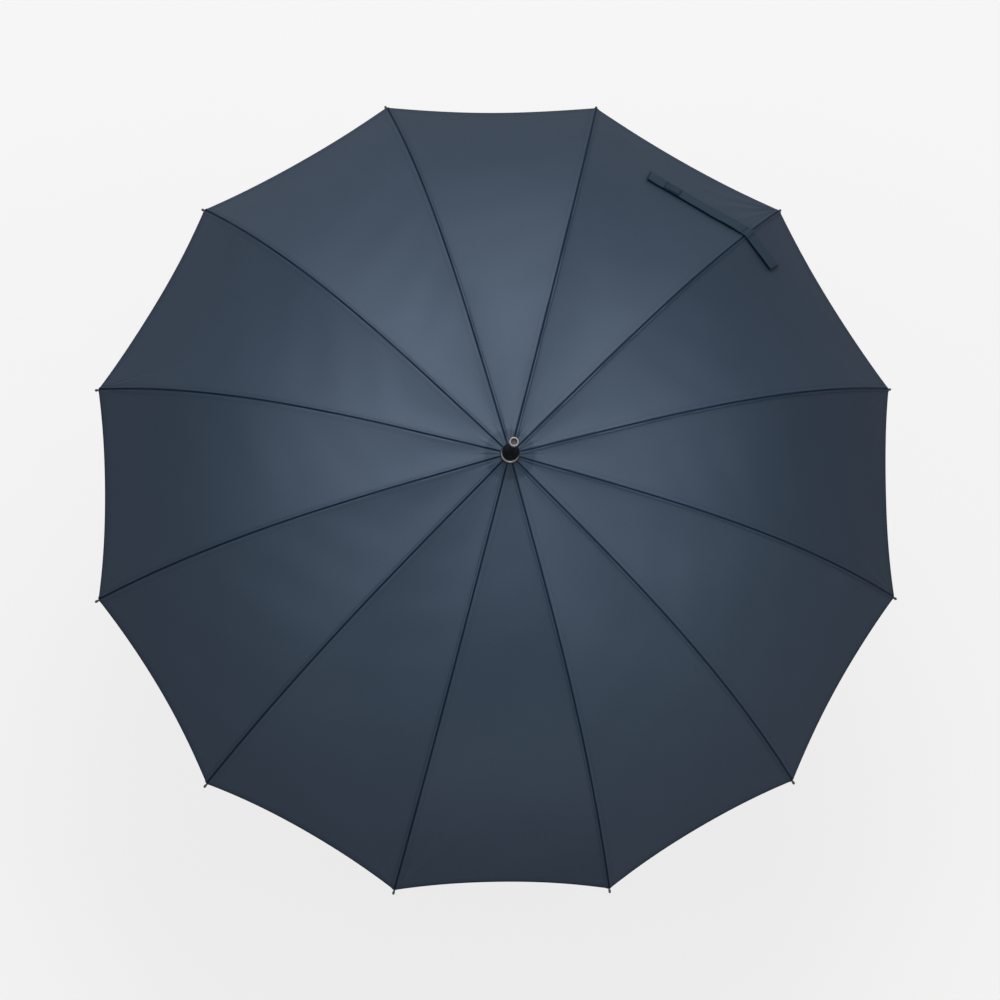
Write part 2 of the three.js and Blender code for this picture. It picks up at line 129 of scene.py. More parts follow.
def add_piece(name, points, faces, materials, body, uvs=None, normals=None, shade=None,
              face_materials=None, sharp=None):
    """A mesh from points in millimetres, riding on a body. uvs are in millimetres too."""
    mesh = bpy.data.meshes.new(name)
    mesh.from_pydata((np.asarray(points, float) * MM).tolist(), [], np.asarray(faces).tolist()
                     if isinstance(faces, np.ndarray) else faces)
    corners = np.zeros(len(mesh.loops), np.int32)
    mesh.loops.foreach_get("vertex_index", corners)
    for label, values in (uvs or {}).items():
        layer = mesh.uv_layers.new(name=label)
        layer.data.foreach_set("uv", (np.asarray(values) * MM)[corners].astype(np.float32).ravel())
    if shade is not None:
        layer = mesh.attributes.new("shade", "FLOAT", "POINT")
        layer.data.foreach_set("value", np.asarray(shade, np.float32))
    for m in materials:
        mesh.materials.append(m)
    if face_materials is not None:
        mesh.polygons.foreach_set("material_index", np.asarray(face_materials, np.int32))
    mesh.polygons.foreach_set("use_smooth", np.ones(len(mesh.polygons), bool))
    if normals is not None:
        mesh.normals_split_custom_set_from_vertices(np.asarray(normals).tolist())
    elif sharp is not None:
        mesh.set_sharp_from_angle(angle=np.radians(sharp))
    obj = bpy.data.objects.new(name, mesh)
    bpy.context.scene.collection.objects.link(obj)
    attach(obj, body)
    return obj


def grid_faces(rows, columns, wrap=False, flip=False):
    """Quads over a grid of points stored row by row."""
    i, j = np.meshgrid(np.arange(rows - 1), np.arange(columns - (not wrap)), indexing="ij")
    k = (j + 1) % columns
    quads = np.stack([i * columns + j, (i + 1) * columns + j, (i + 1) * columns + k,
                      i * columns + k], -1).reshape(-1, 4)
    return quads[:, ::-1] if flip else quads


def lathe(profile, sides):
    """Points and faces of a profile of (radius, height) turned about the shaft."""
    profile = np.asarray(profile, float)
    turn = np.arange(sides) * 2 * np.pi / sides
    r, z = profile[:, :1], profile[:, 1:]
    points = np.stack([r * np.cos(turn), r * np.sin(turn), z + 0 * turn], -1).reshape(-1, 3)
    return points, grid_faces(len(profile), sides, wrap=True, flip=True)


def rounded(profile, radius):
    """A profile with its corners rounded off."""
    p = np.asarray(profile, float)
    out = [p[0]]
    for a, b, c in zip(p[:-2], p[1:-1], p[2:]):
        back, on = a - b, c - b
        r = min(radius, np.linalg.norm(back) * 0.45, np.linalg.norm(on) * 0.45)
        first, last = b + back / np.linalg.norm(back) * r, b + on / np.linalg.norm(on) * r
        for t in np.linspace(0, 1, 4):
            out.append((1 - t) ** 2 * first + 2 * t * (1 - t) * b + t * t * last)
    out.append(p[-1])
    return np.array(out)


def tube(centres, radii, sides, side_axis):
    """Points and faces of round sections along a flat curve. side_axis is square to its plane."""
    centres, side_axis = np.asarray(centres, float), np.asarray(side_axis, float)
    along = np.gradient(centres, axis=0)
    along /= np.linalg.norm(along, axis=1)[:, None]
    up = np.cross(along, side_axis)
    turn = np.arange(sides) * 2 * np.pi / sides
    ring = up[:, None] * np.cos(turn)[None, :, None] + side_axis * np.sin(turn)[None, :, None]
    points = centres[:, None] + ring * np.asarray(radii, float)[:, None, None]
    return points.reshape(-1, 3), grid_faces(len(centres), sides, wrap=True)


def joined(*parts):
    """Several (points, faces) as one, with the number of the part that each face came from."""
    points, faces, owner, start = [], [], [], 0
    for i, (p, f) in enumerate(parts):
        points.append(p)
        faces.extend((np.asarray(f) + start).tolist())
        owner.extend([i] * len(f))
        start += len(p)
    return np.concatenate(points), faces, owner


# ---- Materials ------------------------------------------------------------------------------

def new_material(name, colour, roughness, metallic=0.0, **sockets):
    material = bpy.data.materials.new(name)
    material.use_nodes = True
    tree = material.node_tree
    shader = tree.nodes["Principled BSDF"]
    shader.inputs["Base Color"].default_value = (*colour, 1)
    shader.inputs["Roughness"].default_value = roughness
    shader.inputs["Metallic"].default_value = metallic
    for socket, value in sockets.items():
        shader.inputs[socket.replace("_", " ")].default_value = value
    return material, tree, shader


def node(tree, kind, **settings):
    made = tree.nodes.new("ShaderNode" + kind)
    inputs = settings.pop("inputs", {})
    for key, value in settings.items():
        setattr(made, key, value)
    for key, value in inputs.items():
        if isinstance(value, bpy.types.NodeSocket):
            tree.links.new(value, made.inputs[key])
        else:
            made.inputs[key].default_value = value
    return made


def maths(tree, operation, *values):
    made = node(tree, "Math", operation=operation)
    for socket, value in zip(made.inputs, values):
        if isinstance(value, bpy.types.NodeSocket):
            tree.links.new(value, socket)
        else:
            socket.default_value = value
    return made.outputs[0]


def noise(tree, coordinates, scale, detail=3.0, roughness=0.5):
    return node(tree, "TexNoise", inputs={"Vector": coordinates, "Scale": scale, "Detail": detail,
                                          "Roughness": roughness}).outputs["Fac"]


def remap(tree, value, low, high, from_low=0.3, from_high=0.7):
    return node(tree, "MapRange", inputs={
        "Value": value, "From Min": from_low, "From Max": from_high, "To Min": low, "To Max": high,
    }).outputs["Result"]


def tinted(tree, colour, factor):
    """A colour scaled by a factor."""
    return node(tree, "VectorMath", operation="SCALE",
                inputs={0: colour, "Scale": factor}).outputs["Vector"]


def bump(tree, shader, height, distance, strength):
    made = node(tree, "Bump", inputs={"Height": height, "Distance": distance, "Strength": strength})
    tree.links.new(made.outputs["Normal"], shader.inputs["Normal"])


THREAD_PITCH = 0.00042      # metres
STITCH_PITCH = 0.0026
STITCH_HALF_WIDTH = 0.00035


def fabric_material(name, colour, weave_strength=0.35, gloss=0.5):
    """Close pongee weave with a faint slub, a soft sheen, and a line of stitches. The shade
    attribute scales its colour, and less of it makes the colour bluer as well as darker."""
    material, tree, shader = new_material(
        name, colour, 0.5, Sheen_Weight=0.04, Sheen_Roughness=0.4, Sheen_Tint=(0.5, 0.66, 0.92, 1),
        Specular_IOR_Level=gloss, Specular_Tint=(0.63, 0.8, 1, 1))
    weave = node(tree, "UVMap", uv_map="Weave").outputs["UV"]
    stitch = node(tree, "UVMap", uv_map="Stitch").outputs["UV"]
    thread = node(tree, "SeparateXYZ", inputs={0: weave})
    pitch = 2 * np.pi / THREAD_PITCH
    warp = maths(tree, "SINE", maths(tree, "MULTIPLY", thread.outputs["X"], pitch))
    weft = maths(tree, "SINE", maths(tree, "MULTIPLY", thread.outputs["Y"], pitch * 0.9))
    cloth = maths(tree, "MULTIPLY", warp, weft)
    slub_map = node(tree, "Mapping", inputs={"Vector": weave, "Scale": (900, 26, 1)}).outputs[0]
    slub = noise(tree, slub_map, 1.0, 2.0)
    fine = noise(tree, weave, 420.0, 2.0)
    broad = noise(tree, weave, 9.0, 3.0, 0.55)
    along = node(tree, "SeparateXYZ", inputs={0: stitch})
    dash = maths(tree, "SINE",
                 maths(tree, "MULTIPLY", along.outputs["X"], 2 * np.pi / STITCH_PITCH))
    off_line = maths(tree, "MULTIPLY", along.outputs["Y"], 1 / STITCH_HALF_WIDTH)
    squared = maths(tree, "MULTIPLY", off_line, off_line)
    line = maths(tree, "EXPONENT", maths(tree, "MULTIPLY", squared, -1.0))
    thread_up = maths(tree, "MULTIPLY", line, remap(tree, dash, -1.0, 0.6, -0.3, 0.3))
    shade = node(tree, "Attribute", attribute_name="shade").outputs["Fac"]
    under_stitch = maths(tree, "SUBTRACT", 1.0, maths(tree, "MULTIPLY", line, 0.28))
    tone = maths(tree, "MULTIPLY", remap(tree, broad, 0.955, 1.045),
                 remap(tree, slub, 0.965, 1.035))
    for factor in (remap(tree, cloth, 0.94, 1.06, -1.0, 1.0), under_stitch, shade):
        tone = maths(tree, "MULTIPLY", tone, factor)
    base = node(tree, "RGB")
    base.outputs[0].default_value = (*colour, 1)
    bluer = node(tree, "VectorMath", operation="SCALE",
                 inputs={0: (-0.002, 0.003, 0.014), "Scale": maths(tree, "SUBTRACT", 1.0, shade)})
    # the cloth's colour times the shade attribute, which holds painted light and shade
    dye_and_painted_shade = node(tree, "VectorMath", operation="ADD",
                inputs={0: tinted(tree, base.outputs[0], tone), 1: bluer.outputs["Vector"]})
    tree.links.new(dye_and_painted_shade.outputs["Vector"], shader.inputs["Base Color"])
    tree.links.new(remap(tree, fine, 0.47, 0.56), shader.inputs["Roughness"])
    height = maths(tree, "ADD", maths(tree, "MULTIPLY", cloth, 0.00003),
                   maths(tree, "MULTIPLY", slub, 0.00004))
    height = maths(tree, "ADD", height, maths(tree, "MULTIPLY", thread_up, 0.00018))
    bump(tree, shader, height, 1.0, weave_strength)
    return material


def metal_material(name, colour, roughness, stretch, scratch):
    """Drawn or plated metal: lines as fine along each axis as stretch says, and some tarnish."""
    material, tree, shader = new_material(name, colour, roughness, 1.0)
    place = node(tree, "TexCoord").outputs["Object"]
    stretched = node(tree, "Mapping", inputs={"Vector": place, "Scale": stretch}).outputs[0]
    lines = noise(tree, stretched, 1.0, 3.0, 0.6)
    stain = noise(tree, place, 55.0, 4.0, 0.6)
    base = node(tree, "RGB")
    base.outputs[0].default_value = (*colour, 1)
    tone = maths(tree, "MULTIPLY", remap(tree, lines, 1 - scratch, 1 + scratch),
                 remap(tree, stain, 0.93, 1.04))
    tree.links.new(tinted(tree, base.outputs[0], tone), shader.inputs["Base Color"])
    rough = maths(tree, "MULTIPLY", remap(tree, stain, roughness * 0.85, roughness * 1.3),
                  remap(tree, lines, 0.9, 1.12))
    tree.links.new(rough, shader.inputs["Roughness"])
    bump(tree, shader, lines, 0.00002, 0.5)
    return material


def moulded_material(name, colour, roughness, grain, depth, coat=0.0, gloss=0.5):
    """Moulded or painted surface with a fine grain and rubbed patches."""
    material, tree, shader = new_material(
        name, colour, roughness, Coat_Weight=coat, Coat_Roughness=0.2, Specular_IOR_Level=gloss)
    place = node(tree, "TexCoord").outputs["Object"]
    pores = noise(tree, place, grain, 3.0, 0.6)
    rubbed = noise(tree, place, 38.0, 4.0, 0.6)
    base = node(tree, "RGB")
    base.outputs[0].default_value = (*colour, 1)
    tone = maths(tree, "MULTIPLY", remap(tree, pores, 0.93, 1.07), remap(tree, rubbed, 0.9, 1.12))
    tree.links.new(tinted(tree, base.outputs[0], tone), shader.inputs["Base Color"])
    rough = remap(tree, rubbed, roughness * 1.12, roughness * 0.82)
    tree.links.new(rough, shader.inputs["Roughness"])
    bump(tree, shader, pores, depth, 0.6)
    return material


NAVY = (0.0232, 0.0357, 0.0575)
navy = fabric_material("navy_pongee", NAVY)
# A darker, bluer and less glossy copy of the cloth: painted shade for the seam's groove, the hem's
# rolled edge and the strap's outline.
navy_painted_shade = fabric_material("navy_painted_shade", (0.0074, 0.0165, 0.0335), 0.35, 0.12)
navy_webbing = fabric_material("navy_strap", (0.0125, 0.0275, 0.0475), 0.6, 0.34)
navy_tape = fabric_material("navy_hook_tape", (0.0095, 0.0215, 0.037), 0.9, 0.3)
thread_black = moulded_material("navy_thread", (0.012, 0.016, 0.024), 0.8, 2600, 0.00008)
steel = metal_material("zinc_plated_steel", (0.56, 0.57, 0.58), 0.36, (1500, 1500, 60), 0.06)
chrome = metal_material("polished_nickel", (0.72, 0.73, 0.74), 0.16, (240, 240, 1800), 0.03)
tip_steel = metal_material("dark_tip", (0.2, 0.2, 0.21), 0.4, (1500, 1500, 60), 0.06)
worn_tip = metal_material("worn_tip", (0.2, 0.2, 0.205), 0.42, (240, 240, 1800), 0.08)
rod_black = moulded_material("black_rod", (0.011, 0.012, 0.014), 0.4, 1400, 0.00002)
shaft_black = moulded_material("painted_shaft", (0.017, 0.019, 0.022), 0.34, 1700, 0.00002, 0.3)
plastic = moulded_material("black_plastic", (0.008, 0.0085, 0.0095), 0.42, 1900, 0.00003)
gloss_plastic = moulded_material("black_ferrule", (0.0045, 0.0047, 0.0052), 0.4, 2200, 0.00001,
                                 gloss=0.22)
rubber = moulded_material("black_rubber", (0.0085, 0.0088, 0.0095), 0.62, 2100, 0.00006)

# ---- The fabric's surface -------------------------------------------------------------------

ROUND = 1.5          # half width of the bend over a rib
STRIP = 4.5          # half width of the sewn strip over a rib
DISC = (31, 33.5)    # where the disc under the crown ends and the cloth comes down off it
DISC_SHADE = (30.5, 33)
# the last millimetres before the hem are darkened with painted shade
HEM_SHADE = (505, 510)
rng = np.random.default_rng(12)
BILLOW = rng.uniform(0, 2 * np.pi, (RIBS, 6))
FOLD_TURN = rng.uniform(20, 84, (RIBS, 2, 5))       # degrees from the rib, at the two corners
FOLD_HEIGHT = rng.uniform(-0.4, 0.36, (RIBS, 2, 5))
FOLD_WIDTH = rng.uniform(2.6, 6.5, (RIBS, 2, 5))
FOLD_LENGTH = rng.uniform(18, 48, (RIBS, 2, 5))
FOLD_HEIGHT[4, 1] *= 1.8     # the corner that pulls hardest
FOLD_HEIGHT[5, 0] *= 1.5
FOLD_TURN[1, 0] = (34, 45, 55, 64, 73)     # a fan of pulled folds beyond the strap
FOLD_HEIGHT[1, 0] = (0.95, -0.8, 1.05, -0.75, 0.85)
FOLD_WIDTH[1, 0] = 3.4
FOLD_LENGTH[1, 0] = 46


def corner_folds(gore, across, station):
    """Small folds that run out from the two corners of a gore's hem."""
    side = across * np.sin(HALF_STEP) * station
    reach = CANOPY_RADIUS * np.sin(HALF_STEP)
    total = 0
    for corner, sign in ((0, -1), (1, 1)):
        inward, sideways = CANOPY_RADIUS - station, reach - sign * side
        distance = np.hypot(inward, sideways)
        turn = np.degrees(np.arctan2(sideways, inward))
        for i in range(FOLD_TURN.shape[2]):
            off_fold = (turn - FOLD_TURN[gore, corner, i]) / FOLD_WIDTH[gore, corner, i]
            ridge = np.exp(-off_fold ** 2)
            fade = 1 - np.exp(-(distance / 14) ** 2)
            fade = fade * np.exp(-distance / FOLD_LENGTH[gore, corner, i])
            total = total + FOLD_HEIGHT[gore, corner, i] * ridge * fade * 2.1
    return total


def relief(rib, station, y, share, across):
    """How far the fabric lies above the straight line from rib to rib."""
    gore = np.where(y >= 0, rib - 1, (rib - 2) % RIBS)
    a = np.where(y >= 0, across, -across)
    p = BILLOW[gore]
    belly = np.clip(1 - a ** 2, 0, 1)
    sag = SAG * np.sin(np.pi * np.minimum(share, 1) * 0.85) * (1 - a ** 2)
    swell = 0.55 * np.sin(station / 27 + p[..., 0]) * np.cos(2.1 * a + p[..., 1])
    swell += 0.28 * np.sin(station / 11 + 3.2 * a + p[..., 2]) * smooth(share, 0.15, 0.4)
    near = np.exp(-(np.abs(y) / 10) ** 2)
    drift = 1.3 * np.sin(station / 13 + p[..., 3])
    pucker = 0.08 * near * np.sin(station / 1.55 + drift + p[..., 4])
    pucker = pucker * smooth(station, 24, 60)
    pleats = 0.13 * np.sin(9.5 * a + p[..., 5])
    pleats = pleats * smooth(station, 9, 16) * (1 - smooth(station, 26, 54))
    disc = 0.45 * (1 - smooth(station, *DISC))
    folds = corner_folds(gore, a, station)
    clear_of_seam = smooth(np.abs(y), 0, 4)
    return -sag + disc + clear_of_seam * (swell * belly + pucker + pleats + folds)


def fabric(rib, station, y, lift):
    """A point of the canopy. station is the radius that it hangs at before the hem is cut,
    y the distance round from the rib, and lift the height above the fabric."""
    distance = np.abs(y)
    across = distance / (QUARTER * station) - 1
    share = (station - FABRIC_HOLE) / (CANOPY_RADIUS - FABRIC_HOLE)
    along = station - HEM_RISE * np.clip(share, 0, 2) ** 4 * (1 - across ** 2)
    scale = along / station
    behind = np.where(distance > ROUND, distance, distance ** 2 / (2 * ROUND) + ROUND / 2)
    slope = dome_slope(along)
    turn = HALF_STEP * np.clip(y / ROUND, -1, 1)
    out = lift + relief(rib, station, y, share, across)
    return in_rib_plane(
        rib,
        along - SLANT * behind * scale + out * np.sin(slope) * np.cos(turn),
        y * scale + out * np.sin(slope) * np.sin(turn),
        out * np.cos(slope) - dome_drop(along),
    )


# Painted light and shade, gore by gore, as (near the crown, near the hem): each gore's colour is
# made lighter or darker as the light falls on its slope, with a painted highlight near the crown on
# some.
GORE_PAINTED_LIGHT = np.array([(1.08, 0.84), (1, 1), (1.12, 0.98), (1.2, 1.26), (1.2, 1.04), (1.32, 0.9),
                (0.96, 1.07), (0.93, 1.13), (0.97, 0.9), (1.18, 1.3), (1.13, 1.21), (1.16, 0.76)])


def painted_light_and_disc(rib, station, y):
    """Shade of the cloth: painted light and shade gore by gore, the darker disc under the crown,
    and painted shade at the hem's edge.
    """
    near_crown, near_hem = GORE_PAINTED_LIGHT[np.where(y >= 0, rib - 1, (rib - 2) % RIBS)].transpose(2, 0, 1)
    # each gore's painted light and shade, blended from the crown to the hem
    gore_light = near_crown + (near_hem - near_crown) * smooth(station, 120, 440)
    disc = 1 - 0.5 * (1 - smooth(station, *DISC_SHADE))
    # the last factor is painted shade at the hem's edge
    return gore_light * disc * (1 - 0.3 * smooth(station, *HEM_SHADE))


HEM_BAND = 10
STITCH_LINE = 5.2     # the hem's stitches to its edge
TUCK = 1.5            # a panel starts this far from the rib, under the sewn strip

# Rows of a sheet as (share of the way, millimetres further, lift). The first and last are
# only there to find the normals beside them.
INNER_ROWS = [(v, 0, 0) for v in np.linspace(-1 / 56, 1 + 1 / 56, 59)]
UNDERLAP = [(0, -13, -0.26), (0, -12, -0.25), (0, -8, -0.22), (0, -4, -0.14), (0, -1.5, -0.03)]
HEM = [(1, 1.5, 0), (1, 3.4, 0.0), (1, 4.2, 0.16), (1, 5.4, 0.24), (1, 7.4, 0.24),
       (1, 9.2, 0.2), (1, 10, 0.1), (1, 10.5, -0.15), (1, 10.62, -0.5), (1, 10.4, -0.85),
       (1, 10, -1), (1, 8.4, -1), (1, 4.2, -0.85), (1, 3, -0.8)]
OUTER_ROWS = UNDERLAP + [(1 - (1 - v) ** 1.6, 0, 0) for v in np.linspace(0, 1, 54)] + HEM


def station_of(rows, q, cut, outer):
    """The radius and lift at a row. cut is the radius where the inner and outer pieces meet."""
    index = np.arange(len(rows))
    share, extra, lift = (np.interp(q, index, column) for column in np.array(rows, float).T)
    first, last = (cut, CANOPY_RADIUS - HEM_BAND) if outer else (FABRIC_HOLE + 2, cut)
    return first + share * (last - first) + extra, lift


def sheet_mesh(point, q, c, flip):
    """A grid of points, its faces and its smooth normals. point(q, c) gives the surface."""
    q, c = np.meshgrid(q, c, indexing="ij")
    dq, dc = 0.25, 0.25 / c.shape[1]
    points = point(q, c)
    normals = np.cross(point(q + dq, c) - point(q - dq, c), point(q, c + dc) - point(q, c - dc))
    normals /= np.maximum(np.linalg.norm(normals, axis=-1), 1e-12)[..., None]
    if flip:
        normals = -normals
    return points.reshape(-1, 3), grid_faces(*q.shape, flip=flip), normals.reshape(-1, 3)


def painted_shade_faces(rows, columns, groove=()):
    """1 for each face that is the hem's rolled edge or the seam's groove, and 0 for the others: the
    faces that take the darker painted-shade material.
    """
    # the hem's rolled edge takes the darker painted-shade material
    edge = np.array([extra > 9 and lift > -0.6 for _, extra, lift in rows[1:-2]])
    return (edge[:, None] | np.isin(np.arange(columns - 1), groove)).astype(int).ravel()


def panel(rib, side, outer, columns):
    """Half a gore's width beside a rib, either inside or outside the rib's joint."""
    rows = OUTER_ROWS if outer else INNER_ROWS

    def place(q, c):
        cut = (JOINT_RADIUS + SLANT * TUCK * (1 - c)) / (1 - QUARTER * SLANT * c)
        station, lift = station_of(rows, q, cut, outer)
        return station, side * (TUCK + c * (QUARTER * station - TUCK)), lift

    q, c = np.arange(1, len(rows) - 1), np.linspace(0, 1, columns) ** 1.4
    points, faces, normals = sheet_mesh(lambda a, b: fabric(rib, *place(a, b)), q, c, side < 0)
    q, c = np.meshgrid(q, c, indexing="ij")
    station, y, lift = place(q, c)
    across = side * (np.abs(y) / (QUARTER * station) - 1)
    round_gore = across * station * np.sin(HALF_STEP)
    uvs = {
        "Weave": np.stack([round_gore, arc(station)], -1).reshape(-1, 2),
        # the turned-under rows are moved off the line, so it is sewn once
        "Stitch": np.stack([round_gore, arc(CANOPY_RADIUS - STITCH_LINE) - arc(station)
                            + 50 * (lift < -0.3)], -1).reshape(-1, 2),
    }
    shade = painted_light_and_disc(rib, station, y)
    # darker for a few millimetres beside the seam strip
    shade = shade * (1 - 0.18 * (1 - smooth(np.abs(y), 4, 9)) * smooth(station, 30, 90))
    return points, faces, normals, uvs, shade.ravel(), painted_shade_faces(rows, columns)


# The seam, from clockwise to counter-clockwise: (distance from the rib, lift, painted shade). The
# groove and the band on its clockwise side are darkened with painted shade.
SEAM = np.array([
    (-4.5, 0.08, 0.9), (-4.0, 0.1, 0.6), (-3.7, 0.4, 0.7), (-3.2, 0.62, 0.86), (-2.2, 0.68, 0.86),
    (-1.5, 0.6, 0.76), (-1.0, 0.25, 0.7), (-0.5, -0.35, 0.66), (0.2, -0.5, 0.66),
    (0.8, -0.15, 0.7), (1.3, 0.16, 0.84), (2.2, 0.2, 1.0), (3.4, 0.12, 1.0), (4.5, 0.08, 1.0),
])
GROOVE = (5, 6, 7, 8)       # the columns between those points that are the groove, given the painted-shade material


def strip(rib, outer):
    """The sewn strip over a rib, with the seam's groove and the folded allowance beside it."""
    rows = OUTER_ROWS if outer else INNER_ROWS

    def place(q, c):
        y = np.interp(c, np.linspace(-1, 1, len(SEAM)), SEAM[:, 0])
        cut = JOINT_RADIUS + SLANT * np.abs(y)
        station, lift = station_of(rows, q, cut, outer)
        width = np.minimum(1, QUARTER * station / STRIP)
        wander = 0.3 * np.sin(station / 21 + rib) + 0.16 * np.sin(station / 6.3 + 2 * rib)
        profile = np.interp(y + wander * smooth(station, 30, 80), SEAM[:, 0], SEAM[:, 1])
        folded = 0.12 * np.sin(station / 3.1 + 0.7 * rib) * np.exp(-((y + 2.6) / 1.4) ** 2)
        down = np.where(lift < -0.1, 1.25 * lift, lift)
        return station, y * width, down + (profile + folded * smooth(station, 40, 80)) * width

    q, c = np.arange(1, len(rows) - 1), np.linspace(-1, 1, len(SEAM))
    points, faces, normals = sheet_mesh(lambda a, b: fabric(rib, *place(a, b)), q, c, False)
    q, c = np.meshgrid(q, c, indexing="ij")
    station, y, lift = place(q, c)
    uvs = {
        "Weave": np.stack([y, arc(station)], -1).reshape(-1, 2),
        "Stitch": np.stack([arc(station), y - 0.1], -1).reshape(-1, 2),
    }
    # painted shade in the groove and on the band's shadowed side
    shade = np.interp(c, np.linspace(-1, 1, len(SEAM)), SEAM[:, 2])
    shade = 1 - (1 - shade) * smooth(station, 14, 40)
    shade = shade * painted_light_and_disc(rib, station, y)
    return points, faces, normals, uvs, shade.ravel(), painted_shade_faces(rows, len(SEAM), GROOVE)


# How the fabric would gather beside each rib as the umbrella closes, for inner (False) and outer
# (True) pieces: the lean of the folding direction in degrees and the thickness kept, and the
# direction that faces away from the shaft once closed, as (radial, up) when open. gather() works
# these out, then only gives each piece a mesh of its own; nothing is folded.
GATHER = {False: (90.0, 0.05), True: (87.5, 0.036)}
OUTWARD = {False: (0.206, 0.9785), True: (0.684, 0.7296)}
BOW = 12              # the rods bow, so the outer pieces would gather this far out from the joint


def gather(obj, rib, side, outer):
    angle, keep = GATHER[outer]
    a, lean = rib_azimuth(rib), np.radians(angle)
    radial, up = OUTWARD[outer]
    m = np.array([radial * np.cos(a), radial * np.sin(a), up])
    at = in_rib_plane(rib, JOINT_RADIUS, side * 4.0, -dome_drop(JOINT_RADIUS)) + BOW * outer * m
    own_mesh(obj)


OUTER_COLUMNS, INNER_COLUMNS = 36, 18
for rib in range(1, RIBS + 1):
    number = f"{rib:02d}"
    for outer, part, half in ((False, "inner", "channel"), (True, "outer", "rod")):
        body = f"rib_{half}_{number}"
        points, faces, normals, uvs, shade, shaded_faces = strip(rib, outer)
        seam = add_piece(f"seam_{part}_{number}", points, faces, [navy, navy_painted_shade], body,
                         uvs, normals, shade, shaded_faces)
        for side, hand in ((1, "left"), (-1, "right")):
            points, faces, normals, uvs, shade, shaded_faces = panel(
                rib, side, outer, OUTER_COLUMNS if outer else INNER_COLUMNS)
            cloth = add_piece(f"panel_{part}_{hand}_{number}", points, faces, [navy, navy_painted_shade],
                              body, uvs, normals, shade, shaded_faces)
            gather(cloth, rib, side, outer)
            if side > 0 and not outer:
                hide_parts(f"gore_{number}")

# ---- Rods with their tips -------------------------------------------------------------------

ROD_END = CANOPY_RADIUS + TIP_REACH
ROD_STATIONS = [ROD_START + 1.2, ROD_START + 1.4, *np.linspace(ROD_START + 3, ROD_END - 15, 42)]
ROD_RADII = [0.02, 1.1, *np.linspace(ROD_RADIUS, 1.25, 42)]
EYE_STATIONS = [ROD_START - 4.2, ROD_START - 4, ROD_START - 3, ROD_START - 2, ROD_START + 2.6]
EYE_RADII = [0.02, 0.62, 0.7, 0.7, 0.7]
# The turned tip as (distance back from its end, radius), and a thread tie as (offset, radius).
TIP = np.array([
    (16.5, 0.02), (16.4, 1.5), (16, 1.68), (9.5, 1.68), (8.5, 1.42), (4.4, 1.25), (3.4, 1.25),
    (2.6, 1.6), (1.6, 1.72), (0.7, 1.35), (0.2, 0.8), (0.02, 0.02),
])
TIE = np.array([(-0.36, 1.3), (-0.3, 1.75), (0, 1.95), (0.3, 1.75), (0.36, 1.3)])
TIES = (7.9, 7.2, 6.5)


def below_fabric(radius):
    """A point of the rib's middle line, under the canopy."""
    slope = dome_slope(radius)
    return radius - RIB_BELOW * np.sin(slope), -dome_drop(radius) - RIB_BELOW * np.cos(slope)


for rib in range(1, RIBS + 1):
    number = f"{rib:02d}"
    a = rib_azimuth(rib)
    sideways = (-np.sin(a), np.cos(a), 0)

    def rib_tube(stations, radii, sides=20):
        x, z = below_fabric(np.asarray(stations, float))
        return tube(in_rib_plane(rib, x, 0, z), radii, sides, sideways)

    rod = rib_tube(ROD_STATIONS, ROD_RADII)
    eye = rib_tube(EYE_STATIONS, EYE_RADII, sides=12)
    tip = rib_tube(ROD_END - TIP[:, 0], TIP[:, 1])
    ties = [rib_tube(ROD_END - tie + TIE[:, 0], TIE[:, 1], sides=16) for tie in TIES]
    points, faces, owner = joined(rod, eye, tip, *ties)
    finish = [(0, 0, 1, 2, 2, 2)[part] for part in owner]      # rod, eye, tip, three ties
    piece = add_piece(f"rod_{number}", points, faces, [rod_black, tip_steel, thread_black],
                      f"rib_rod_{number}", face_materials=finish, sharp=40)
    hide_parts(f"rib_rod_{number}")

# ---- Closing strap --------------------------------------------------------------------------

STRAP_SEAM = 439
STRAP_WIDTH = 25
STRAP_SLANT = 0.68    # its width seen from above, as the canopy slopes there
STRAP_THICKNESS = 1.2
STRAP_LONG = 18.9     # degrees round from the rib to its two ends
STRAP_SHORT = 7.0
BEND = 0.65           # degrees each side of the rib where it is sewn down
PATCH_TURNS = (12.8, 15.7)
PATCH_WIDTH = 0.86    # of the strap's
PATCH_THICKNESS = 0.8
# The strap's section, a flat rounded loop, as (edge from -1 to 1, through from -1 to 1).
SECTION = [(np.sign(np.cos(t)) * abs(np.cos(t)) ** 0.5, np.sign(np.sin(t)) * abs(np.sin(t)) ** 0.6)
           for t in np.arange(28) * 2 * np.pi / 28]


def strap_shares(turn):
    """How far along the long leg and the short leg an angle round from the rib is."""
    return np.clip(turn, 0, None) / STRAP_LONG, np.clip(-turn, 0, None) / STRAP_SHORT


def strap_station(turn):
    """The radius of the strap's middle at an angle round from its rib, in degrees."""
    long, short = strap_shares(turn)
    return STRAP_SEAM + 9.5 * long + 2.2 * np.sin(np.pi * long) + 11.7 * short


def strap_lift(turn, edge):
    """Height of the strap's underside. Its crown side stands off the fabric."""
    long, short = strap_shares(turn)
    arch = 0.9 + 1.3 * np.sin(np.pi * np.clip(long, 0, 1)) + 1.2 * smooth(short, 0, 0.6)
    stand_off = (1 - edge) / 2 * arch
    wave = 0.45 * np.sin(8.5 * long + 0.6) + 0.22 * np.sin(21 * long + 1.5 * edge)
    wave = wave - 0.25 * np.sin(6 * short)
    curl = 0.8 * smooth(long, 0.88, 1) + 0.7 * smooth(short, 0.75, 1) * (1 + edge) / 2
    return 0.95 + stand_off + wave * smooth(np.abs(turn), 0.6, 2.5) + curl


